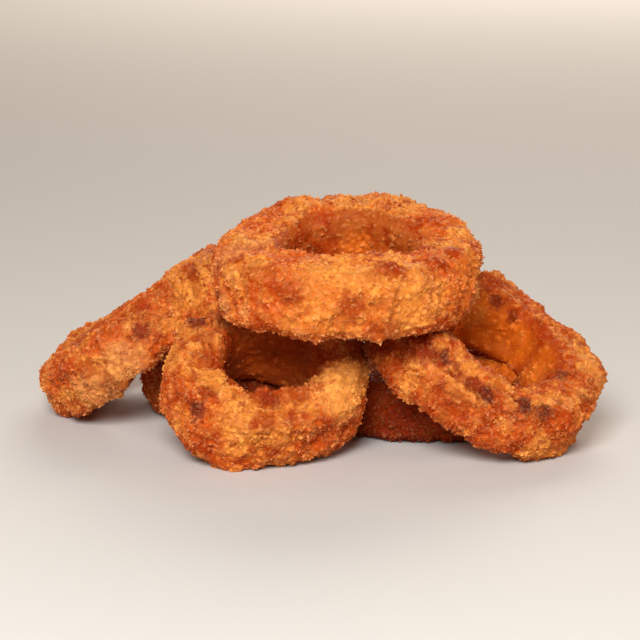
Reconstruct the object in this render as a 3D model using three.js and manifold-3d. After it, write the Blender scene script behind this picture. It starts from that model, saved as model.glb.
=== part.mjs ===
// A side of onion rings: six battered, fried onion rings lying in a loose pile.
// Units are millimetres, +Z is up, and the viewer stands on the -Y side with +X to the right.
//
// Each ring is one solid: a band of onion in a thick coat of batter, so its section is a rounded
// rectangle, its plan is a little oval and three-cornered, and its crust has lumps and crags.
// Two rings lie flat on the surface. Three lean on them, and the last one lies on top.
import * as THREE from 'three'
import { mergeVertices } from 'three/addons/utils/BufferGeometryUtils.js'
import Module from 'manifold-3d'

const wasm = await Module()
wasm.setup()

// ---------- driving dimensions ----------
const CLEARANCE = 0.3 // air left between two rings that touch
const PRESS = 0.7 // how much of a ring's underside is flattened where it lies on the surface
const AROUND = 56 // facets round a ring
const ACROSS = 20 // facets round its section
const SQUARENESS = 5 // 2 is an oval section, larger is a squarer one
const LUMPS = 46 // random lumps of batter on each ring
const LUMP_RADIUS = [2.2, 4.6]
const LUMP_HEIGHT = [-0.5, 1.1]
const INNER_SHARE = 0.35 // the wall of the hole is smoother than the rest

// size: outer diameter, width of the coated band seen from above, height of the band
// oval, corners: share of the radius, and the direction in which the plan is longest or pointed
// swing: share by which the band is wider on one side, with that side's direction
// warp: how far the band rises and falls, twice each time round, with a direction
// lean: degrees from lying flat and the side that is lowest; null means found by settling
// crags: single lumps [degrees round the ring, degrees round its section, radius, height],
//        where 0 on the section is the outer wall, 90 the upper rim and 180 the wall of the hole
// crease: a fold in the batter [from and to round the ring, degrees round its section, width, depth]
const RINGS = {
  base_left_ring: {
    seed: 11, at: [-25.5, 81], size: [59, 15, 17.4], lean: [0, 0],
    oval: [0.01, 30], corners: [0.01, 20], swing: [0.05, 120], warp: [0.5, 20],
    crags: [],
  },
  base_right_ring: {
    seed: 23, at: [31, 65], size: [58, 15, 17.6], lean: [0, 0],
    oval: [0.01, 100], corners: [0.01, 60], swing: [0.05, 300], warp: [0.4, 60],
    crags: [],
  },
  right_ring: {
    seed: 37, at: [48.8, 44], size: [72, 17, 20], lean: [null, -36],
    oval: [0.036, 92], corners: [0.024, 80], swing: [0.1, 140], warp: [1.6, 40],
    crags: [[89, 54, 6, 3], [106, 60, 5, -1.5], [2, 44, 4.5, 3.6], [56, 52, 12, -2.8], [340, 326, 8, -2], [285, 96, 11, -3], [10, 210, 8, 4.5], [308, 135, 8, 2]],
    crease: [200, 268, 62, 3.2, 3],
  },
  front_ring: {
    seed: 41, at: [-16.2, 32], size: [55.5, 15, 21], lean: [null, -71],
    oval: [0.036, 19], corners: [0.033, -7], swing: [0.2, 245], warp: [1.2, -20],
    crags: [[186, 0, 8, 1.6], [352, 344, 8, 1.4], [286, 285, 11, -2], [40, 44, 13, 3], [22, 28, 7, 1.8]],
  },
  left_ring: {
    seed: 53, at: [-55, 79], size: [71, 16, 18.4], lean: [null, 171],
    oval: [0.015, 85], corners: [0.017, 28], swing: [0.05, 0], warp: [0.9, -30],
    crags: [[142, 84, 6, 2], [196, 345, 6, 2.6], [262, 256, 9, -1.5]],
  },
  top_ring: {
    seed: 67, at: [7, 36], size: [76, 20, 20.4], lean: [9, -96],
    oval: [0.02, 22], corners: [0.04, -10], swing: [0.06, 215], warp: [1.5, 65],
    crags: [[118, 56, 6, 2], [26, 52, 5, 1.5], [197, 325, 6, 2.4], [196, 48, 9, -1.6], [100, 148, 3.5, 1.6]],
  },
}

// Which rings each ring lies on, in the order in which the pile was heaped.
const LIES_ON = {
  base_left_ring: [],
  base_right_ring: [],
  right_ring: ['base_right_ring'],
  front_ring: ['base_left_ring', 'base_right_ring'],
  left_ring: ['base_left_ring'],
  top_ring: ['front_ring', 'right_ring', 'left_ring', 'base_left_ring', 'base_right_ring'],
}

const CRUST = { color: 0xd9772f, roughness: 0.75, metalness: 0 }

// ---------- the shape of one ring ----------
const radians = THREE.MathUtils.degToRad

function seededRandom(seed) {
  let state = seed
  return () => {
    state = (state * 1664525 + 1013904223) % 4294967296
    return state / 4294967296
  }
}

const between = ([low, high], share) => low + (high - low) * share
const wave = (count, angle, direction) => Math.cos(count * (angle - radians(direction)))

// A point of the smooth band: `around` runs round the ring and `across` round its section.
function bandPoint(ring, around, across) {
  const [outer, width, height] = ring.size
  const wide = width * (1 + ring.swing[0] * wave(1, around, ring.swing[1]))
  const middle = ((outer - width) / 2) *
    (1 + ring.oval[0] * wave(2, around, ring.oval[1]) + ring.corners[0] * wave(3, around, ring.corners[1]))
  const c = Math.cos(across)
  const s = Math.sin(across)
  const reach = (Math.abs(c) ** SQUARENESS + Math.abs(s) ** SQUARENESS) ** (-1 / SQUARENESS)
  const radius = middle + reach * c * wide / 2
  const rise = ring.warp[0] * wave(2, around, ring.warp[1]) + reach * s * height / 2
  return new THREE.Vector3(radius * Math.cos(around), radius * Math.sin(around), rise)
}

// The lumps of one ring: where each sits on the band, how wide it is and how far it stands out.
function lumpsOf(ring) {
  const random = seededRandom(ring.seed)
  const lumps = ring.crags.map(([around, across, radius, height]) => ({
    centre: bandPoint(ring, radians(around), radians(across)), radius, height,
  }))
  for (let i = 0; i < LUMPS; i++) {
    const around = 2 * Math.PI * (i + random()) / LUMPS
    const across = 2 * Math.PI * random()
    const inner = Math.cos(across) < -0.5 ? INNER_SHARE : 1
    lumps.push({
      centre: bandPoint(ring, around, across),
      radius: between(LUMP_RADIUS, random()),
      height: inner * between(LUMP_HEIGHT, random()),
    })
  }
  return lumps
}

// How deep a ring's crease is at a point: it fades out towards both of its ends.
function creaseDepth(ring, around, point) {
  if (!ring.crease) return 0
  const [from, to, across, width, depth] = ring.crease
  const along = (THREE.MathUtils.radToDeg(around) - from) / (to - from)
  if (along <= 0 || along >= 1) return 0
  const bottom = bandPoint(ring, around, radians(across))
  const fade = Math.sin(Math.PI * along) ** 0.5
  return depth * fade * Math.exp(-point.distanceToSquared(bottom) / width ** 2)
}

// A torus whose points are moved onto the band and then out, or in, by the lumps of the crust.
function ringSolid(ring) {
  const geometry = new THREE.TorusGeometry(1, 0.5, ACROSS, AROUND)
  const position = geometry.attributes.position
  const lumps = lumpsOf(ring)
  for (let i = 0; i < position.count; i++) {
    const around = 2 * Math.PI * (geometry.attributes.uv.getX(i) % 1)
    const across = 2 * Math.PI * (geometry.attributes.uv.getY(i) % 1)
    const point = bandPoint(ring, around, across)
    const outward = new THREE.Vector3(
      Math.cos(across) * Math.cos(around), Math.cos(across) * Math.sin(around), Math.sin(across))
    let lift = -creaseDepth(ring, around, point)
    for (const lump of lumps) {
      lift += lump.height * Math.exp(-point.distanceToSquared(lump.centre) / lump.radius ** 2)
    }
    point.addScaledVector(outward, lift)
    position.setXYZ(i, point.x, point.y, point.z)
  }
  geometry.deleteAttribute('normal')
  geometry.deleteAttribute('uv')
  return asManifold(mergeVertices(geometry, 1e-4))
}

function asManifold(geometry) {
  return new wasm.Manifold(new wasm.Mesh({
    numProp: 3,
    vertProperties: new Float32Array(geometry.attributes.position.array),
    triVerts: new Uint32Array(geometry.index.array),
  }))
}

function asGeometry(solid) {
  const mesh = solid.getMesh()
  const geometry = new THREE.BufferGeometry()
  geometry.setAttribute('position', new THREE.BufferAttribute(mesh.vertProperties, 3))
  geometry.setIndex(new THREE.BufferAttribute(mesh.triVerts, 1))
  geometry.computeVertexNormals()
  return geometry
}

// ---------- how a ring lies ----------
const UP = new THREE.Vector3(0, 0, 1)

// Tips a ring so that its axis leans towards `direction`, which puts that side lowest.
function leaning(degrees, direction) {
  const hinge = new THREE.Vector3(-Math.sin(radians(direction)), Math.cos(radians(direction)), 0)
  return new THREE.Quaternion().setFromAxisAngle(hinge, radians(degrees))
}

function placed(solid, position, turn) {
  const matrix = new THREE.Matrix4().compose(position, turn, new THREE.Vector3(1, 1, 1))
  return solid.transform(matrix.toArray())
}

const SEARCH = 6 // how far away a neighbour is still looked for
const gapTo = (solid, others) => Math.min(SEARCH, ...others.map((other) => solid.minGap(other, SEARCH)))

// The height at which a ring's lowest point lies on the surface, pressed flat by PRESS.
const heightOnSurface = (solid, turn) =>
  -placed(solid, new THREE.Vector3(), turn).boundingBox().min[2] - PRESS

// The least lean at which a ring whose low side is on the surface clears what it leans on.
function settleLean(solid, [x, y], direction, others) {
  let flat = 4
  let steep = 60
  for (let i = 0; i < 14; i++) {
    const lean = (flat + steep) / 2
    const turn = leaning(lean, direction)
    const there = placed(solid, new THREE.Vector3(x, y, heightOnSurface(solid, turn)), turn)
    if (gapTo(there, others) > CLEARANCE) steep = lean
    else flat = lean
  }
  return steep
}

// Lowers a ring from above until it almost touches what it lies on.
function settleHeight(solid, [x, y], turn, others) {
  const lowest = heightOnSurface(solid, turn)
  let height = lowest + 90
  for (let i = 0; i < 60; i++) {
    const spare = gapTo(placed(solid, new THREE.Vector3(x, y, height), turn), others) - CLEARANCE
    if (spare < 0.01) break
    height = Math.max(lowest, height - spare)
  }
  return height
}

// ---------- the pile ----------
const pile = new THREE.Group()
const lying = {}

for (const [name, ring] of Object.entries(RINGS)) {
  const solid = ringSolid(ring)
  const others = LIES_ON[name].map((other) => lying[other])
  const [given, direction] = ring.lean
  const lean = given ?? settleLean(solid, ring.at, direction, others)
  const turn = leaning(lean, direction)
  const height = given === null ? heightOnSurface(solid, turn) : settleHeight(solid, ring.at, turn, others)
  const position = new THREE.Vector3(...ring.at, height)

  // What would be below the surface is pressed flat: the cut is made in the ring's own frame.
  const upInRing = UP.clone().applyQuaternion(turn.clone().invert())
  const resting = solid.trimByPlane(upInRing.toArray(), -height)
  lying[name] = placed(resting, position, turn)

  const mesh = new THREE.Mesh(asGeometry(resting), new THREE.MeshStandardMaterial(CRUST))
  mesh.name = name
  mesh.position.copy(position)
  mesh.quaternion.copy(turn)
  pile.add(mesh)
}

// The origin is in the middle of the pile's footprint, on the surface that it lies on.
const reach = new THREE.Box3().setFromObject(pile, true)
const middle = reach.getCenter(new THREE.Vector3())
for (const ring of pile.children) {
  ring.position.x -= middle.x
  ring.position.y -= middle.y
  ring.position.z -= reach.min.z
}

export default pile
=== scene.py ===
# %% [markdown]
# # A side of onion rings
# Six slices of onion, dipped in batter, rolled in crumbs and deep fried, heaped as they fell.
# Two of them lie flat, three lean on those, and the largest lies on top of all.
# The frame holds each ring as a plain solid in its right place. What makes it look like food is
# the crust: how the batter swells, how the crumbs cluster on it, and its colour from golden to
# brown, with painted shade in its dips. This script makes that crust out of real geometry.

# %% The frame that everything is built on
import math

import bpy
import numpy as np
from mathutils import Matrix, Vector


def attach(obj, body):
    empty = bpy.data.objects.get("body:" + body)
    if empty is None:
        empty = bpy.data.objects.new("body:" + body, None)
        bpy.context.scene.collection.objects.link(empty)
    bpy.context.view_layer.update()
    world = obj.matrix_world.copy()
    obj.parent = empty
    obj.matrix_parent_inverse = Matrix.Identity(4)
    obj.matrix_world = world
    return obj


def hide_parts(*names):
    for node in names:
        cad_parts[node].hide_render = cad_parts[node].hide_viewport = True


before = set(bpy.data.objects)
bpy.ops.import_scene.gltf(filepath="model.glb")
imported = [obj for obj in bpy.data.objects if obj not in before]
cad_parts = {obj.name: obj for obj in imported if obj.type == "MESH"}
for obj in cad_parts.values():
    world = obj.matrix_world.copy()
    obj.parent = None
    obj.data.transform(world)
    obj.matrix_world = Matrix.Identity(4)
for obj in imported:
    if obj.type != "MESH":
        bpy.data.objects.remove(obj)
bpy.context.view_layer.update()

MM = 0.001
print("rings in the frame:", sorted(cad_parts))

# %% [markdown]
# ## Camera
# Food like this is shown from just above table height with a long lens, so that the pile stays
# wide and the rings keep their true shape. The lens could be tried out by eye. Here it follows
# from how wide the picture is where the camera looks, which stays true when the camera moves.

# %% Camera
LOOK_AT = Vector((0.63, -11.38, 36.0)) * MM
CAMERA_DISTANCE = 600 * MM
CAMERA_ELEVATION = math.radians(12.3)
SENSOR = 36.0
FRAME_WIDTH_AT_TARGET = 188.2 * MM  # how wide the picture is where the camera looks
NEAREST_SEEN = 10 * MM

camera_data = bpy.data.cameras.new("camera")
camera_data.sensor_width = SENSOR
camera_data.lens = SENSOR * CAMERA_DISTANCE / FRAME_WIDTH_AT_TARGET
camera_data.clip_start = NEAREST_SEEN
camera = bpy.data.objects.new("camera", camera_data)
bpy.context.scene.collection.objects.link(camera)
back = Vector((0, -math.cos(CAMERA_ELEVATION), math.sin(CAMERA_ELEVATION)))
camera.location = LOOK_AT + back * CAMERA_DISTANCE
camera.rotation_euler = (math.radians(90) - CAMERA_ELEVATION, 0, 0)
bpy.context.scene.camera = camera
print("lens in mm:", round(camera_data.lens, 1))

# %% [markdown]
# ## One crumb
# The coating is breadcrumb: dry, broken grains of up to a millimetre. Two are modelled: a round
# one that melts into the crust, and a splinter with only five faces for the many thousands of
# loose crumbs on it. Each copy is turned and stretched by chance, so that no two look alike.

# %% Crumbs
CRUMB = 1.0 * MM


def broken(grain, name, roughness, seed):
    """Knocks a new ball or pyramid out of shape, by a share of its size."""
    grain.name = name
    bpy.ops.object.mode_set(mode="EDIT")
    bpy.ops.mesh.select_all(action="SELECT")
    bpy.ops.transform.vertex_random(offset=CRUMB * roughness, uniform=0.6, normal=0.4, seed=seed)
    bpy.ops.object.mode_set(mode="OBJECT")
    print(name, "has faces:", len(grain.data.polygons))
    return grain


bpy.ops.object.select_all(action="DESELECT")
bpy.ops.mesh.primitive_uv_sphere_add(segments=8, ring_count=5, radius=CRUMB / 2)
crumb = broken(bpy.context.object, "crumb", roughness=0.2, seed=4)
bpy.ops.object.select_all(action="DESELECT")
bpy.ops.mesh.primitive_cone_add(vertices=4, radius1=CRUMB / 2, depth=CRUMB)
splinter = broken(bpy.context.object, "splinter", roughness=0.16, seed=7)

# %% [markdown]
# ## Trees of nodes
# What chance does to a crust is easiest said with nodes: Geometry Nodes for its shape, and
# shader nodes for its colour. One function adds any node to any tree and gives the output that
# the next node takes, so that a tree reads like a recipe.

# %% Helpers for trees of nodes
MIDDLE = 0.5  # a noise pattern swings about this value, mostly between 0.3 and 0.7
SOFT, RAGGED, ROUGH = 2.0, 3.0, 4.0  # how much finer detail lies on a noise pattern


def add(tree, kind, inputs=(), output=0, **settings):
    """Adds a node with these settings, and gives one of its outputs.

    Its inputs are given in their order or by name. A socket is linked, and a value is filled in.
    """
    node = tree.nodes.new(kind)
    for name, value in settings.items():
        setattr(node, name, value)
    by_name = inputs if isinstance(inputs, dict) else dict(enumerate(inputs))
    for name, value in by_name.items():
        if isinstance(value, bpy.types.NodeSocket):
            tree.links.new(value, node.inputs[name])
        else:
            node.inputs[name].default_value = value
    return node.outputs[output] if node.outputs else None


def new_tree(name, **numbers):
    """A geometry tree whose modifier takes a mesh and these named values, and what it is given."""
    tree = bpy.data.node_groups.new(name, "GeometryNodeTree")
    tree.interface.new_socket("Geometry", in_out="INPUT", socket_type="NodeSocketGeometry")
    for number, kind in numbers.items():
        tree.interface.new_socket(number, in_out="INPUT", socket_type=kind)
    tree.interface.new_socket("Geometry", in_out="OUTPUT", socket_type="NodeSocketGeometry")
    return tree, tree.nodes.new("NodeGroupInput").outputs


def per_mm(size):
    """The scale at which a noise pattern in metres has spots of this size in mm."""
    return 1 / (size * MM)


print("a noise with spots of 1 mm has the scale:", round(per_mm(1)))

# %% [markdown]
# ## Swollen batter
# Batter swells in the hot fat into soft lumps of all sizes. They could be sculpted one by one,
# but a slow noise with a quicker one on it, which pushes the ring's skin out and in, does it for
# all six alike. The wall of the hole stays calmer, because steam keeps it open, and what would
# sink below the table is pressed flat on it. Only what stands out is listed one by one: each ring
# has lumps and dents of its own, and a fold is a row of lumps beside a row of dents. Where the
# large ring lies on the front one, a lump on each of them brings their crusts together.

# %% How the batter swells
SWELL = (8.0, 2.6)  # size and height in mm of the swollen lumps
PUCKER = (3.0, 0.95)  # and of the smaller ones on them
COAT = 0.4  # mm by which the batter lies inside the frame's skin, to leave room for crumbs
HOLE_WALL = (0.2, 0.8)  # how far inwards the skin faces where the wall of the hole begins, and is full
CALM = 0.5  # share of the swelling that is left on the wall of the hole
LUMP_FOOT, LUMP_TOP = 1.6, 0.2  # how far from its middle a lump begins and is full, in radii

LUMPS = {  # where in mm, radius in mm, and how far the batter stands out there, or is drawn in
    "top_ring": (
        ((2, -43, 61), 1.8, 1.0), ((6, -43, 61), 1.5, 0.8), ((15, -41, 61), 2.0, 1.2),
        ((21, -42, 60), 1.5, 0.8), ((30, -38, 60), 2.0, 1.0), ((-9, 5, 68), 2.5, 1.2),
        ((22, -1, 69), 1.2, 1.4), ((41, -21, 63), 1.2, 1.6), ((20, -50, 58), 3.0, 0.9),
        ((32, -43, 59), 2.5, 0.8), ((-29, -36, 46), 2.6, -2.4), ((-26, -42, 48), 2.5, 1.8),
        ((-22, -23, 62), 2.2, 0.9), ((-8, -57, 53), 3.0, 0.6), ((9, -57, 50), 3.5, 0.6),
        ((12, -54, 41), 2.8, 0.8), ((-24, -12, 43), 4.5, 2.0),
    ),
    "front_ring": (
        ((-24, -35, 23), 2.0, 1.0), ((-15, -41, 21), 2.2, 1.3), ((-9, -41, 22), 2.0, 1.2),
        ((-5, -39, 22), 1.6, 1.0), ((-1, -38, 23), 2.0, 1.3), ((4, -34, 25), 2.0, 1.0),
        ((-35, -20, 37), 2.5, 1.0), ((-27, -36, 26), 2.0, 0.9), ((12, -23, 30), 4.5, 1.8),
        ((-25, -10, 39), 4.5, 2.0),
    ),
    "left_ring": (
        ((-52, -13, 33), 2.0, 0.8), ((-38, 1, 48), 2.5, 0.9), ((-69, -10, 20), 2.2, 0.7),
        ((-76, -5, 20), 2.0, 0.8),
    ),
    "right_ring": (
        ((34, -37, 36), 3.0, 2.1), ((38, -39, 33), 3.0, 2.1), ((43, -41, 30), 3.0, 2.1),
        ((48, -41, 26), 3.0, 2.0), ((52, -40, 23), 2.6, 1.6), ((35, -42, 31), 2.6, -3.0),
        ((39, -44, 28), 2.6, -3.0), ((43, -46, 25), 2.6, -3.0), ((47, -46, 23), 2.6, -2.8),
        ((57, -44, 20), 2.4, -2.2), ((61, -43, 18), 2.4, -2.2), ((65, -42, 17), 2.2, -1.8),
        ((48, 9, 24), 4.0, 0.9), ((53, 9, 21), 4.0, 0.9), ((57, 7, 20), 4.0, 0.9),
        ((60, 3, 18), 4.0, 0.9), ((61, -4, 17), 4.0, 0.9), ((16, -24, 32), 4.5, 1.8),
    ),
    "base_right_ring": (
        ((49, 22, 18), 5.0, 1.0), ((53, 15, 18), 5.0, 1.0), ((57, 8, 18), 4.5, 1.0),
        ((59, 2, 16), 4.0, 0.9),
    ),
}
print("lumps and dents at a place of their own:", sum(len(own) for own in LUMPS.values()))

# %% Geometry Nodes: swell the batter
TABLE_CORNER = (-1.0, -1.0, 0.0)  # in metres: no skin goes left of it, before it or below it


def pressed_on_table(tree, geometry):
    """Presses flat on the table what would sink below it."""
    position = add(tree, "GeometryNodeInputPosition")
    above = add(tree, "ShaderNodeVectorMath", (position, TABLE_CORNER), operation="MAXIMUM")
    return add(tree, "GeometryNodeSetPosition", {"Geometry": geometry, "Position": above})


def pushed_out(tree, geometry, lift):
    """Moves the skin along its own direction, but not through the table."""
    normal = add(tree, "GeometryNodeInputNormal")
    offset = add(tree, "ShaderNodeVectorMath", {0: normal, "Scale": lift}, operation="SCALE")
    moved = add(tree, "GeometryNodeSetPosition", {"Geometry": geometry, "Offset": offset})
    return pressed_on_table(tree, moved)


def less_in_hole(tree, wall, least):
    """A share that is 1 on the outside of the ring and drops to least on the wall of its hole."""
    inward = add(tree, "GeometryNodeInputNamedAttribute", {"Name": "inward"}, data_type="FLOAT")
    return add(tree, "ShaderNodeMapRange", (inward, *wall, 1.0, least), interpolation_type="SMOOTHSTEP")


def swelling_tree(name):
    """The swellings of a ring's batter, and the lumps and dents of its own."""
    tree, given = new_tree("swollen batter of " + name)
    position = add(tree, "GeometryNodeInputPosition")
    lift = -COAT * MM
    for size, height in (SWELL, PUCKER):
        lumpy = add(tree, "ShaderNodeTexNoise", {"Vector": position, "Scale": per_mm(size), "Detail": SOFT})
        centred = add(tree, "ShaderNodeMath", (lumpy, MIDDLE), operation="SUBTRACT")
        lift = add(tree, "ShaderNodeMath", (centred, 2 * height * MM, lift), operation="MULTIPLY_ADD")
    calm = less_in_hole(tree, HOLE_WALL, CALM)
    lift = add(tree, "ShaderNodeMath", (lift, calm), operation="MULTIPLY")
    for place, radius, height in LUMPS.get(name, ()):
        middle = Vector(place) * MM
        apart = add(tree, "ShaderNodeVectorMath", (position, middle), "Value", operation="DISTANCE")
        foot_to_top = (LUMP_FOOT * radius * MM, LUMP_TOP * radius * MM, 0.0, height * MM)
        lump = add(tree, "ShaderNodeMapRange", (apart, *foot_to_top), interpolation_type="SMOOTHSTEP")
        lift = add(tree, "ShaderNodeMath", (lift, lump), operation="ADD")
    add(tree, "NodeGroupOutput", (pushed_out(tree, given["Geometry"], lift),))
    print(tree.name, "has nodes:", len(tree.nodes))
    return tree


# %% [markdown]
# ## The coating
# Crumbs don't lie evenly: they come away in some places, where the smooth golden batter shows,
# and cake together in others. A slow noise says where they cluster and a quicker one breaks the
# clusters up, and the wall of the hole, which the crumbs hardly reach, has few. Small grains are
# scattered with Geometry Nodes in any direction, and fewer, larger flakes lie along the skin. A
# voxel remesh then fuses all of it into one skin. The loose crumbs come last, as a piece of their
# own on top of that skin, because their thin edges would be lost in the remesh.

# %% Where the crumbs lie
CRUMBLY = dict(size=10.0, detail=RAGGED, begin=0.42, full=0.60)  # patches where crumbs cake together
CLUMPS = dict(size=2.6, detail=SOFT, begin=0.42, full=0.58, least=0.5)  # and clumps within them
DEEP_IN_HOLE = (0.4, 0.95)  # how far inwards the skin faces where crumbs become fewer, and are fewest
FUSED_ON_BARE, FUSED_IN_HOLE = 0.4, 0.4  # share of the fused crumbs on bare batter, and in the hole
LOOSE_ON_BARE, LOOSE_IN_HOLE = 0.45, 0.25  # and of the loose ones


def patchy(tree, size, detail, begin, full, least=0.0):
    """A share that is 1 in random patches of this size in mm, and least between them."""
    position = add(tree, "GeometryNodeInputPosition")
    spots = add(tree, "ShaderNodeTexNoise", {"Vector": position, "Scale": per_mm(size), "Detail": detail})
    return add(tree, "ShaderNodeMapRange", (spots, begin, full, least, 1.0), interpolation_type="SMOOTHSTEP")


def more_in_patches(tree, least):
    """A share that is 1 where the crumbs cake together, and least on bare batter."""
    crumbly = patchy(tree, **CRUMBLY)
    return add(tree, "ShaderNodeMapRange", (crumbly, 0.0, 1.0, least, 1.0), interpolation_type="SMOOTHSTEP")


print("mm from patch to patch:", CRUMBLY["size"], "and from clump to clump:", CLUMPS["size"])

# %% Geometry Nodes: scatter the crumbs
GRAINS = dict(per_mm2=1.7, spacing=0.4, size=(0.42, 0.75), stretch=(0.35, 2.0), seed=0)
FLAKES = dict(per_mm2=0.05, spacing=2.0, size=(1.2, 1.6), stretch=(0.8, 1.5), seed=100, thickness=0.5)
LOOSE = dict(per_mm2=3.2, spacing=0.25, size=(0.34, 0.5), stretch=(0.4, 2.2), seed=200)
FEW_LARGE = 4.0  # the larger it is, the fewer crumbs are large


def how_it_lies(tree, points, chance, stretch, thickness):
    """The turn and proportions of each crumb: any way up, or flat along the skin with a thickness."""
    low, high = stretch
    shape = add(
        tree, "FunctionNodeRandomValue", {0: (low,) * 3, 1: (high,) * 3, "Seed": chance},
        data_type="FLOAT_VECTOR",
    )
    if thickness:
        flat = add(tree, "ShaderNodeVectorMath", (shape, (1.0, 1.0, thickness)), operation="MULTIPLY")
        return points.node.outputs["Rotation"], flat
    turn = add(
        tree, "FunctionNodeRandomValue", {0: (0, 0, 0), 1: (math.tau,) * 3, "Seed": chance},
        data_type="FLOAT_VECTOR",
    )
    return turn, shape


def scattered(tree, given, share, per_mm2, spacing, size, stretch, seed, thickness=None):
    """Crumbs on the skin: how many, how far apart in mm, and sizes from small to small + span.

    Each crumb keeps a number between 0 and 1, its luck, which later tints it.
    """
    chance = add(tree, "ShaderNodeMath", (given["Seed"], seed), operation="ADD")
    points = add(
        tree, "GeometryNodeDistributePointsOnFaces",
        {"Mesh": given["Geometry"], "Distance Min": spacing * MM, "Density Max": per_mm2 / MM**2,
         "Density Factor": share, "Seed": chance},
        distribute_method="POISSON",
    )
    turn, shape = how_it_lies(tree, points, chance, stretch, thickness)
    luck = add(tree, "FunctionNodeRandomValue", {2: 0.0, 3: 1.0, "Seed": chance}, 1, data_type="FLOAT")
    small, span = size
    few_large = add(tree, "ShaderNodeMath", (luck, FEW_LARGE), operation="POWER")
    scale = add(tree, "ShaderNodeMath", (few_large, span, small), operation="MULTIPLY_ADD")
    shape = add(tree, "ShaderNodeVectorMath", {0: shape, "Scale": scale}, operation="SCALE")
    grain = add(tree, "GeometryNodeObjectInfo", {"Object": given["Crumb"]}, "Geometry")
    crumbs = add(
        tree, "GeometryNodeInstanceOnPoints",
        {"Points": points, "Instance": grain, "Rotation": turn, "Scale": shape},
    )
    lucky = add(
        tree, "GeometryNodeStoreNamedAttribute", {"Geometry": crumbs, "Name": "luck", "Value": luck},
        data_type="FLOAT", domain="INSTANCE",
    )
    return add(tree, "GeometryNodeRealizeInstances", (lucky,))


# %% Geometry Nodes: the two coats of crumbs
ASKED_FOR = {"Seed": "NodeSocketInt", "Crumb": "NodeSocketObject"}  # what both modifiers ask for


def fused_crumbs_tree():
    """Batter, grains and flakes together: still loose, to be fused by the remesh."""
    tree, given = new_tree("crumb coating", **ASKED_FOR)
    crumbly = patchy(tree, **CRUMBLY)
    on_outside = add(
        tree, "ShaderNodeMath", (crumbly, 1 - FUSED_ON_BARE, FUSED_ON_BARE), operation="MULTIPLY_ADD",
    )
    outer = less_in_hole(tree, DEEP_IN_HOLE, FUSED_IN_HOLE)
    share = add(tree, "ShaderNodeMath", (on_outside, outer), operation="MULTIPLY")
    clumped = add(tree, "ShaderNodeMath", (share, patchy(tree, **CLUMPS)), operation="MULTIPLY")
    joined = add(tree, "GeometryNodeJoinGeometry", (scattered(tree, given, clumped, **GRAINS),))
    for more in (scattered(tree, given, share, **FLAKES), given["Geometry"]):
        tree.links.new(more, joined.node.inputs["Geometry"])
    add(tree, "NodeGroupOutput", (joined,))
    return tree


def loose_crumbs_tree():
    """The loose crumbs alone, without the skin on which they lie."""
    tree, given = new_tree("loose crumbs", **ASKED_FOR)
    crumbly = more_in_patches(tree, LOOSE_ON_BARE)
    outer = less_in_hole(tree, DEEP_IN_HOLE, LOOSE_IN_HOLE)
    share = add(tree, "ShaderNodeMath", (crumbly, outer), operation="MULTIPLY")
    crumbs = scattered(tree, given, share, **LOOSE)
    add(tree, "NodeGroupOutput", (pressed_on_table(tree, crumbs),))
    return tree


fused_coat = fused_crumbs_tree()
loose_coat = loose_crumbs_tree()
for coat in (fused_coat, loose_coat):
    print(coat.name, "has nodes:", len(coat.nodes))

# %% [markdown]
# ## The grain of the crust
# Seen close, the batter and the crumbs have a grain of their own, finer than a crumb: fried
# bread is full of tiny bubbles. A noise with much detail roughens the skin, strongly in the
# crumbly patches and hardly where the batter is bare.

# %% Geometry Nodes: roughen the skin
GRIT = (1.2, 0.5)  # size and height in mm of the grain; on the wall of the hole it is half as high
GRIT_ON_BARE = 0.35  # share of it that is left on bare batter


def on_core(tree, core, value, data_type):
    """A value of the smooth ring at the spot that is nearest to each point of the crust."""
    position = add(tree, "GeometryNodeInputPosition")
    mesh = add(tree, "GeometryNodeObjectInfo", {"Object": core}, "Geometry")
    return add(
        tree, "GeometryNodeSampleNearestSurface",
        {"Mesh": mesh, "Value": value, "Sample Position": position}, data_type=data_type,
    )


def grain_tree():
    """Pushes the fused skin out and in by a fine grain."""
    tree, given = new_tree("grain of the crust", Core="NodeSocketObject")
    position = add(tree, "GeometryNodeInputPosition")
    size, height = GRIT
    gritty = add(tree, "ShaderNodeTexNoise", {"Vector": position, "Scale": per_mm(size), "Detail": ROUGH})
    centred = add(tree, "ShaderNodeMath", (gritty, MIDDLE), operation="SUBTRACT")
    inward = add(tree, "GeometryNodeInputNamedAttribute", {"Name": "inward"}, data_type="FLOAT")
    full = add(
        tree, "ShaderNodeMapRange",
        (on_core(tree, given["Core"], inward, "FLOAT"), *HOLE_WALL, 2 * height * MM, height * MM),
        interpolation_type="SMOOTHSTEP",
    )
    strength = add(tree, "ShaderNodeMath", (more_in_patches(tree, GRIT_ON_BARE), full), operation="MULTIPLY")
    lift = add(tree, "ShaderNodeMath", (centred, strength), operation="MULTIPLY")
    add(tree, "NodeGroupOutput", (pushed_out(tree, given["Geometry"], lift),))
    return tree


grain = grain_tree()
print(grain.name, "has nodes:", len(grain.nodes))

# %% [markdown]
# ## Marks for colour, painted shade and painted highlight
# The finished skin is measured: how far each point stands above the swollen batter, whether it is
# a tip or a dip among its neighbours, and how near it is to a rim. The measures are kept with the
# mesh, where a material can read them. Rims come out a deeper brown. Dips and low points are painted
# darker and redder, which is painted shade, and tips paler, in part a painted highlight. Painting by
# hand would do the same, but not crumb by crumb.

# %% Geometry Nodes: measure the skin for its colour
STANDS = 1.0 * MM  # standing this far above the smooth ring counts as 1
TIP = 0.18 * MM  # and so does standing this far above the next crumbs,
BULGE = 3 * TIP  # or this far above the swelling all round
NEXT_CRUMBS, ALL_ROUND = 4, 30  # steps of smoothing that reach over them


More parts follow.
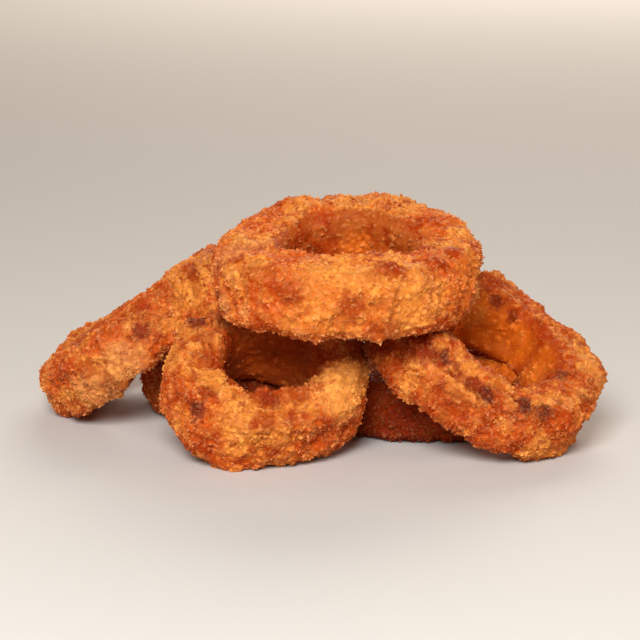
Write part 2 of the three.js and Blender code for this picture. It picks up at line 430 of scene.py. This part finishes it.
def measure_tree():
    """Keeps with each point of the skin the marks that later mix its colour."""
    tree, given = new_tree("marks of frying", Core="NodeSocketObject")
    position = add(tree, "GeometryNodeInputPosition")
    normal = add(tree, "GeometryNodeInputNormal")
    marks = {"luck": MIDDLE}
    for name in ("inward", "upward"):
        kept = add(tree, "GeometryNodeInputNamedAttribute", {"Name": name}, data_type="FLOAT")
        marks[name] = on_core(tree, given["Core"], kept, "FLOAT")
    core_position = on_core(tree, given["Core"], position, "FLOAT_VECTOR")
    core_normal = on_core(tree, given["Core"], normal, "FLOAT_VECTOR")
    next_crumbs, all_round = (
        add(
            tree, "GeometryNodeBlurAttribute", {"Value": position, "Iterations": steps},
            data_type="FLOAT_VECTOR",
        )
        for steps in (NEXT_CRUMBS, ALL_ROUND)
    )
    for name, start, outward, one in (
        ("stands", core_position, core_normal, STANDS),
        ("tip", next_crumbs, normal, TIP),
        ("bulge", all_round, normal, BULGE),
    ):
        away = add(tree, "ShaderNodeVectorMath", (position, start), operation="SUBTRACT")
        height = add(tree, "ShaderNodeVectorMath", (away, outward), "Value", operation="DOT_PRODUCT")
        marks[name] = add(tree, "ShaderNodeMath", (height, one), operation="DIVIDE")
    marked = given["Geometry"]
    for name, value in marks.items():
        marked = add(
            tree, "GeometryNodeStoreNamedAttribute", {"Geometry": marked, "Name": name, "Value": value},
            data_type="FLOAT", domain="POINT",
        )
    add(tree, "NodeGroupOutput", (marked,))
    return tree


marks_for_colour_and_shade = measure_tree()
print(marks_for_colour_and_shade.name, "has nodes:", len(marks_for_colour_and_shade.nodes))

# %% [markdown]
# ## From solid to ring
# A copy of the frame's solid keeps the ring's form and place. It is merged, because its faces
# are loose, and rounded by subdivision. A new torus would be rounder, but it would lose the
# form that the ring has in the frame. The ring's own axis is its thinnest direction, and it tells
# the wall of the hole from the outside and the upper rim from the lower.

# %% The smooth core of a ring
MERGED = 0.01 * MM  # corners nearer to each other than this are one


def only(piece):
    """Selects one object and makes it the active one."""
    bpy.ops.object.select_all(action="DESELECT")
    piece.select_set(True)
    bpy.context.view_layer.objects.active = piece


def finish_with(piece, kind, inputs=None, **settings):
    """Gives a piece a modifier with these settings, and applies it."""
    modifier = piece.modifiers.new(kind.lower(), kind)
    for name, value in settings.items():
        setattr(modifier, name, value)
    if inputs:
        for socket in modifier.node_group.interface.items_tree:
            if socket.name in inputs:
                modifier[socket.identifier] = inputs[socket.name]
    only(piece)
    bpy.ops.object.modifier_apply(modifier=modifier.name)


def mark_directions(core):
    """Keeps with each point how far its skin faces the hole, and how far up the ring's axis."""
    count = len(core.data.vertices)
    points = np.empty(count * 3)
    normals = np.empty(count * 3, np.float32)
    core.data.vertices.foreach_get("co", points)
    core.data.vertices.foreach_get("normal", normals)
    points, normals = points.reshape(-1, 3), normals.reshape(-1, 3)
    centred = points - points.mean(axis=0)
    axis = np.linalg.eigh(np.cov(centred.T))[1][:, 0]
    axis *= np.sign(axis[2])
    outward = centred - np.outer(centred @ axis, axis)
    outward /= np.linalg.norm(outward, axis=1)[:, None]
    for mark, value in (("inward", -(normals * outward).sum(axis=1)), ("upward", normals @ axis)):
        kept = core.data.attributes.new(mark, "FLOAT", "POINT")
        kept.data.foreach_set("value", value.astype(np.float32))
    print(core.name, "leans by degrees:", round(math.degrees(math.acos(axis[2]))))


def smooth_core(name):
    """A merged, rounded and swollen copy of a ring's solid."""
    core = bpy.data.objects.new(name + "_core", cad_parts[name].data.copy())
    core.data.materials.clear()
    bpy.context.scene.collection.objects.link(core)
    only(core)
    bpy.ops.object.mode_set(mode="EDIT")
    bpy.ops.mesh.select_all(action="SELECT")
    bpy.ops.mesh.remove_doubles(threshold=MERGED)
    bpy.ops.mesh.tris_convert_to_quads()
    bpy.ops.object.mode_set(mode="OBJECT")
    finish_with(core, "SUBSURF", subdivision_type="SIMPLE", levels=1, render_levels=1)
    finish_with(core, "SUBSURF", levels=1, render_levels=1)
    mark_directions(core)
    finish_with(core, "NODES", node_group=swelling_tree(name))
    return core


# %% Each ring with its crust
VOXEL = 0.36 * MM
MOST_TRIANGLES = 188_000


def crusted(name, seed):
    """The ring with its crust, from the smooth core to the measured skin, and its loose crumbs."""
    core = smooth_core(name)
    ring = bpy.data.objects.new(name + "_crust", core.data.copy())
    bpy.context.scene.collection.objects.link(ring)
    finish_with(ring, "NODES", {"Seed": seed, "Crumb": crumb}, node_group=fused_coat)
    finish_with(ring, "REMESH", mode="VOXEL", voxel_size=VOXEL)
    finish_with(ring, "NODES", {"Core": core}, node_group=grain)
    triangles = 2 * len(ring.data.polygons)
    if triangles > MOST_TRIANGLES:
        finish_with(ring, "DECIMATE", ratio=MOST_TRIANGLES / triangles)
    finish_with(ring, "NODES", {"Core": core}, node_group=marks_for_colour_and_shade)
    bpy.ops.object.shade_smooth()
    bpy.data.objects.remove(core)
    crumbs = bpy.data.objects.new(name + "_loose_crumbs", ring.data.copy())
    bpy.context.scene.collection.objects.link(crumbs)
    finish_with(crumbs, "NODES", {"Seed": seed, "Crumb": splinter}, node_group=loose_coat)
    for piece in (ring, crumbs):
        print(piece.name, "triangles:", sum(len(p.vertices) - 2 for p in piece.data.polygons))
    return ring, crumbs


pieces = {}
for seed, name in enumerate(sorted(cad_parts)):
    pieces[name] = crusted(name, seed)

bpy.data.objects.remove(crumb)
bpy.data.objects.remove(splinter)

# %% [markdown]
# ## Fried crust
# A fried crumb crust is dry and a little oily. Bare batter is golden, the caked crumbs are orange
# to red brown with pale tips, partly a painted highlight, and rims come out a deeper brown. Dips,
# undersides and the wall of the hole are painted darker and redder, which is painted shade, and some
# placed patches are painted shadow, others painted light. The colour is mixed in layers, from large
# patches to single crumbs: each layer is one pattern or one measure of the skin, and says from where
# to where it fades in, how strongly, and to which tint. Light goes about a millimetre into the batter,
# which gives it its warmth, so the skin gets some subsurface scattering. The loose crumbs are smaller
# than that, and get none.

# %% Tints, and patches at a certain place
GOLD = "#ee9c40"
ORANGE = "#d65d14"
RUST = "#a03204"
DEEP = "#741c02"
TOASTED_AND_SHADOW = "#622418"
AMBER = "#ec7a1c"
PAINTED_LIGHT_SAND = "#faac52"
# pale peach of dry crumb tips, with a painted highlight in it
PALE_TIP_AND_GLINT = "#efa96c"
DUSTY = "#dd9858"

MARKS = {  # patches that lie at a certain place: where in mm, radius in mm, strength and tint
    "top_ring": (
        ((4, -58, 54), 13, 0.5, GOLD), ((23, -54, 51), 10, 0.4, GOLD), ((-8, -57, 53), 4.0, 0.8, RUST),
        ((9, -57, 50), 4.5, 0.8, RUST), ((20, -50, 58), 4.5, 0.9, RUST), ((21, -49, 59), 3.0, 0.8, RUST),
        ((32, -43, 59), 3.5, 0.9, RUST), ((38, -35, 61), 3.0, 0.9, RUST), ((30, -30, 62), 3.0, 0.9, RUST),
        ((15, -41, 61), 3.0, 0.7, RUST), ((30, -6, 58), 7.0, 0.7, DEEP), ((-3, -4, 56), 3.5, 0.6, DEEP),
        ((12, -2, 55), 6.0, 0.6, AMBER), ((20, -53, 43), 3.0, 0.6, DEEP),
        ((-29, -36, 46), 3.5, 0.9, DEEP), ((-26, -42, 48), 3.0, 0.5, DUSTY),
        ((-22, -30, 60), 8.0, 0.4, DUSTY), ((-16, -52, 57), 6.0, 0.4, RUST),
        ((41, -38, 51), 9.0, 0.6, ORANGE), ((37, -43, 45), 6.0, 0.4, RUST),
    ),
    "front_ring": (
        # the right arm: paler where the large ring shades it, painted light, and darker where it goes up
        # under it, painted shade
        ((6, -38, 22), 9, 0.9, PAINTED_LIGHT_SAND), ((9, -32, 24), 6, 0.7, PAINTED_LIGHT_SAND), ((12, -22, 30), 6.0, 0.9, DEEP),
        ((-15, -13, 25), 10, 0.6, ORANGE), ((-35, -20, 37), 3.5, 0.9, TOASTED_AND_SHADOW),
        ((-31, -34, 29), 4.0, 0.7, RUST), ((-34, -48, 18), 3.0, 0.85, TOASTED_AND_SHADOW),
        ((-31, -45, 23), 3.0, 0.6, DEEP), ((-33, -27, 33), 4.0, 0.6, RUST),
        ((-15, -42, 21), 4.5, 0.7, RUST), ((-15, -51, 16), 3.5, 0.7, RUST),
        ((-7, -41, 21), 4.0, 0.7, RUST), ((-13, -44, 20), 3.0, 0.5, DEEP),
        ((-1, -38, 23), 3.0, 0.6, RUST), ((-22, -50, 12), 5.0, 0.4, GOLD),
    ),
    "left_ring": (
        ((-66, -9, 13), 8, 0.5, DUSTY), ((-57, -13, 24), 7, 0.5, DUSTY), ((-38, -4, 43), 6, 0.5, GOLD),
        ((-52, -13, 33), 3.2, 0.85, TOASTED_AND_SHADOW), ((-69, -10, 20), 3.5, 0.6, RUST),
        ((-76, -5, 20), 3.5, 0.7, RUST), ((-38, 1, 48), 3.5, 0.8, RUST), ((-62, -12, 17), 3.0, 0.6, DEEP),
        ((-50, -12, 37), 5.0, 0.4, RUST), ((-58, -9, 36), 3.0, 0.6, RUST),
        ((-52, -8, 40), 3.0, 0.6, RUST), ((-46, -6, 43), 3.0, 0.6, RUST),
    ),
    "right_ring": (
        ((49, 6, 31), 10, 0.8, AMBER), ((59, 4, 26), 8, 0.8, AMBER), ((65, -10, 22), 7, 0.6, AMBER),
        ((47, 6, 33), 4, 0.7, GOLD), ((54, 7, 38), 2.6, 0.9, DEEP), ((59, 5, 34), 2.2, 0.8, DEEP),
        # from (35, -41, 32) on: dark brown along the groove under the bar, with painted shadow in it
        ((65, 2, 32), 3.0, 0.6, RUST), ((35, -41, 32), 2.8, 0.9, TOASTED_AND_SHADOW),
        ((39, -43, 28), 2.6, 0.9, DEEP), ((47, -45, 22), 3.2, 1.0, TOASTED_AND_SHADOW),
        ((43, -44, 25), 2.6, 0.9, DEEP), ((58, -43, 18), 3.0, 1.0, TOASTED_AND_SHADOW),
        ((64, -41, 16), 2.8, 0.9, TOASTED_AND_SHADOW), ((70, -22, 22), 2.8, 0.8, TOASTED_AND_SHADOW),
        ((77, -31, 17), 2.8, 0.7, DEEP), ((36, -46, 20), 7.0, 0.5, RUST),
        # from (19, -30, 34) to (16, -24, 32): painted shadow where the large ring overhangs; then a pale
        # stripe along the bar, painted light
        ((19, -30, 34), 5.0, 0.85, DEEP), ((25, -37, 34), 5.0, 0.85, DEEP),
        ((30, -40, 33), 3.5, 0.8, DEEP), ((16, -24, 32), 6.0, 0.9, DEEP), ((35, -38, 35), 2.4, 0.7, GOLD),
        ((39, -39, 32), 2.4, 0.7, GOLD), ((43, -41, 29), 2.4, 0.7, GOLD),
    ),
    "base_right_ring": (
        # the front of the base rings, in the shade of the rings above: painted shade
        ((18, -16, 8), 15, 0.9, DEEP), ((33, -19, 6), 12, 0.85, DEEP), ((42, -17, 4), 8, 0.7, DEEP),
        # lighter where it shows through the right ring's hole, which is painted light
        ((54, 10, 18), 14, 0.8, AMBER),
    ),
    "base_left_ring": (
        # painted shade where the rings above shade it
        ((-38, 8, 9), 16, 0.7, DEEP), ((-20, 0, 9), 14, 0.7, DEEP),
    ),
}
print("patches at a place of their own:", sum(len(own) for own in MARKS.values()))

# %% Layers of colour
SPOTS = {  # patterns of the colour: size of their spots in mm, and how much detail they have
    "broad": (15, RAGGED), "dappled": (4.5, ROUGH), "dusted": (7, ROUGH), "fine": (1.2, RAGGED),
}
PATCH_EDGE = (1.3, 0.6)  # how far from its middle a placed patch begins and is full, in radii
WOBBLE = (2.4, 6)  # size in mm of the wobbles of its edge, and how far they reach
# a ring in shade shows fewer pale tips, which is painted shade
LOST_TIPS = 0.6  # share of the pale tips that a brown ring loses


def placed_layers(tree, position, own_marks):
    """A layer for each patch that lies at a certain place. Its edge is made ragged."""
    size, reach = WOBBLE
    begin, full = PATCH_EDGE
    every_way = {"Vector": position, "Scale": per_mm(size), "Detail": RAGGED}
    wobbling = add(tree, "ShaderNodeTexNoise", every_way, "Color")
    centred = add(tree, "ShaderNodeVectorMath", (wobbling, (MIDDLE,) * 3), operation="SUBTRACT")
    moved = (centred, (reach * MM,) * 3, position)
    astray = add(tree, "ShaderNodeVectorMath", moved, operation="MULTIPLY_ADD")
    layers = []
    for place, radius, strength, tint in own_marks:
        middle = Vector(place) * MM
        apart = add(tree, "ShaderNodeVectorMath", (astray, middle), "Value", operation="DISTANCE")
        layers.append((apart, begin * radius * MM, full * radius * MM, strength, tint))
    return layers


def layers_of_crust(tree, brown_and_shaded, own_marks):
    """The layers in their order: a value, where it fades in and is full, how strong, and the tint."""
    position = add(tree, "ShaderNodeTexCoord", output="Object")
    spots = {
        name: add(tree, "ShaderNodeTexNoise", {"Vector": position, "Scale": per_mm(size), "Detail": detail})
        for name, (size, detail) in SPOTS.items()
    }
    marks = {
        mark: add(tree, "ShaderNodeAttribute", output="Fac", attribute_name=mark)
        for mark in ("inward", "upward", "stands", "tip", "bulge", "luck")
    }
    slanting = add(tree, "ShaderNodeMath", (marks["inward"], marks["upward"]), operation="MULTIPLY")
    rim = add(tree, "ShaderNodeMath", (slanting,), operation="ABSOLUTE")
    normal = add(tree, "ShaderNodeNewGeometry", output="Normal")
    faces_up = add(tree, "ShaderNodeSeparateXYZ", (normal,), "Z")
    pale = 1 - LOST_TIPS * brown_and_shaded
    return (
        (spots["broad"], 0.58 - 0.1 * brown_and_shaded, 0.42 - 0.1 * brown_and_shaded, 0.9, GOLD),
        (spots["dappled"], 0.50, 0.36, 0.6, GOLD),
        (spots["dappled"], 0.55 - 0.06 * brown_and_shaded, 0.66, 0.85, RUST),
        (rim, 0.25, 0.5, 0.25 + 0.3 * brown_and_shaded, RUST),
        (spots["dusted"], 0.54, 0.68, 0.35, DUSTY),
        (spots["fine"], 0.50, 0.36, 0.3, PALE_TIP_AND_GLINT),
        (spots["fine"], 0.50, 0.64, 0.4, RUST),
        # painted shade: the wall of the hole is redder and darker
        (marks["inward"], 0.2, 0.7, 0.6, RUST),
        # painted shade: skin that faces down is redder and darker
        (faces_up, 0.1, -0.8, 0.5, RUST),
        *placed_layers(tree, position, own_marks),
        # painted shade: skin that lies low, or in a dip among the swellings, is redder and darker
        (marks["stands"], 0.25, -0.1, 0.4, RUST),
        (marks["bulge"], -0.15, -1.1, 0.6, RUST),
        (marks["luck"], 0.35, 0.0, 0.15, RUST),
        # pale crumbs at random and pale tips: partly their own colour, partly a painted highlight
        (marks["luck"], 0.6, 1.0, 0.25 * pale, PALE_TIP_AND_GLINT),
        (marks["tip"], 0.2, 1.4, 0.35 * pale, PALE_TIP_AND_GLINT),
    )


# %% Material of each ring's crust
# brown partly from frying and partly painted shade: the low rings in the shade of others get more
BROWN_AND_SHADED = {  # 0 is a golden ring, and 1 a brown one
    "top_ring": 0.1, "front_ring": 0.35, "left_ring": 0.25,
    "right_ring": 0.6, "base_left_ring": 0.8, "base_right_ring": 1.0,
}
BROWN_BASE = 0.5  # how far the first tint of a brown ring goes from orange to rust
BUBBLE_SIZE = 0.5  # mm from one of the finest bubbles to the next
BUBBLES = {"Strength": 0.5, "Distance": 0.25 * MM}  # they are drawn and not modelled
OILY = {"Roughness": 0.5, "IOR": 1.45, "Specular IOR Level": 0.08}  # dry crumbs with a film of oil
GLOW_DEPTH = {"Subsurface Radius": (1.0, 0.35, 0.12), "Subsurface Scale": 1.0 * MM}  # red goes deepest
SKIN_GLOW, CRUMB_GLOW = 0.4, 0.0  # how much of the light goes in


def linear(code):
    """An sRGB hex colour as the linear colour that Blender works in."""
    parts = [int(code[i : i + 2], 16) / 255 for i in (1, 3, 5)]
    return [c / 12.92 if c <= 0.04045 else ((c + 0.055) / 1.055) ** 2.4 for c in parts] + [1]


def blend(first, second, share):
    """A colour between two others."""
    return [a + (b - a) * share for a, b in zip(first, second)]


def fried_crust(name, brown_and_shaded, own_marks, glow):
    """The crust of one ring: brown_and_shaded takes it from golden to brown, with painted shade for a ring
    that lies in shade, and glow is how much light goes in.
    """
    material = bpy.data.materials.new(name)
    material.use_nodes = True
    tree = material.node_tree
    tree.nodes.clear()
    colour = blend(linear(ORANGE), linear(RUST), BROWN_BASE * brown_and_shaded)
    for value, begin, full, most, tint in layers_of_crust(tree, brown_and_shaded, own_marks):
        fading = (value, begin, full, 0.0, most)
        mask = add(tree, "ShaderNodeMapRange", fading, interpolation_type="SMOOTHSTEP")
        mixed = {0: mask, 6: colour, 7: linear(tint)}  # the share, and the colours A and B
        colour = add(tree, "ShaderNodeMix", mixed, 2, data_type="RGBA")
    position = add(tree, "ShaderNodeTexCoord", output="Object")
    finest = {"Vector": position, "Scale": per_mm(BUBBLE_SIZE), "Detail": SOFT}
    bump = add(tree, "ShaderNodeBump", {"Height": add(tree, "ShaderNodeTexNoise", finest), **BUBBLES})
    shader = add(
        tree, "ShaderNodeBsdfPrincipled",
        {"Base Color": colour, "Normal": bump, "Subsurface Weight": glow, **OILY, **GLOW_DEPTH},
    )
    add(tree, "ShaderNodeOutputMaterial", {"Surface": shader})
    print(name, "has nodes:", len(tree.nodes))
    return material


for name, (ring, crumbs) in pieces.items():
    for piece, finish, glow in (
        (ring, "fried_crust_of_", SKIN_GLOW),
        (crumbs, "dry_crumbs_of_", CRUMB_GLOW),
    ):
        piece.data.materials.clear()
        piece.data.materials.append(fried_crust(finish + name, BROWN_AND_SHADED[name], MARKS[name], glow))

# %% [markdown]
# ## One body
# The pile is loose food without a joint, so it has only one body to ride on. The skin and the loose
# crumbs of a ring are one food: both stand for that ring's solid, which is hidden. The two rings at
# the bottom were fried alike.

# %% What each ring rides on and stands for
for name, parts in pieces.items():
    for piece in parts:
        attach(piece, "root")
        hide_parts(name)
print("pieces on the body root:", sum(len(parts) for parts in pieces.values()))

# %% [markdown]
# ## Floor
# The pile lies on a bare surface. A matt, pale board takes soft shadows and gives the crust a
# little of its light from below. It is so large that its far edge stays out of sight.

# %% Floor
FLOOR_SIZE = 8  # in metres
BOARD = "#d9d6d1"
BOARD_ROUGHNESS = 0.8

bpy.ops.object.select_all(action="DESELECT")
bpy.ops.mesh.primitive_plane_add(size=FLOOR_SIZE, location=(0, 0, 0))
floor = bpy.context.object
floor.name = "floor"
floor_paint = bpy.data.materials.new("matt_pale_board")
floor_paint.use_nodes = True
floor_shader = floor_paint.node_tree.nodes["Principled BSDF"]
floor_shader.inputs["Base Color"].default_value = linear(BOARD)
floor_shader.inputs["Roughness"].default_value = BOARD_ROUGHNESS
floor.data.materials.append(floor_paint)
print("floor in metres:", tuple(floor.dimensions))

# %% [markdown]
# ## Light
# One lamp alone would leave half of the pile black. A soft one in front, above and a little to
# the left, brings out the crumbs. A weak one from the right opens the shade, and a large one far
# behind lights the back. The room itself is dim and warm, so that the gaps stay brown.

# %% Light
WARM_ROOM = (1.0, 0.82, 0.66, 1)
ROOM_STRENGTH = 0.16
LIGHTS = {  # where it hangs from what the camera looks at and its size in mm, its watts, its colour
    "key": ((-130, -755, 510), 380, 9.8, (1, 1, 1)),
    "fill": ((700, -500, 300), 700, 1.1, WARM_ROOM[:3]),
    "back": ((500, 2600, 1500), 2000, 52.0, (1, 0.9, 0.8)),
}
for name, (place, size, power, colour) in LIGHTS.items():
    light_data = bpy.data.lights.new(name, "AREA")
    light_data.size = size * MM
    light_data.energy = power
    light_data.color = colour
    light = bpy.data.objects.new(name, light_data)
    bpy.context.scene.collection.objects.link(light)
    light.location = LOOK_AT + Vector(place) * MM
    light.rotation_euler = (LOOK_AT - light.location).to_track_quat("-Z", "Y").to_euler()
    print(name, "light in watts:", power)

world = bpy.data.worlds.new("soft_room")
world.use_nodes = True
world.node_tree.nodes["Background"].inputs["Color"].default_value = WARM_ROOM
world.node_tree.nodes["Background"].inputs["Strength"].default_value = ROOM_STRENGTH
bpy.context.scene.world = world
bpy.context.scene.view_settings.view_transform = "Standard"
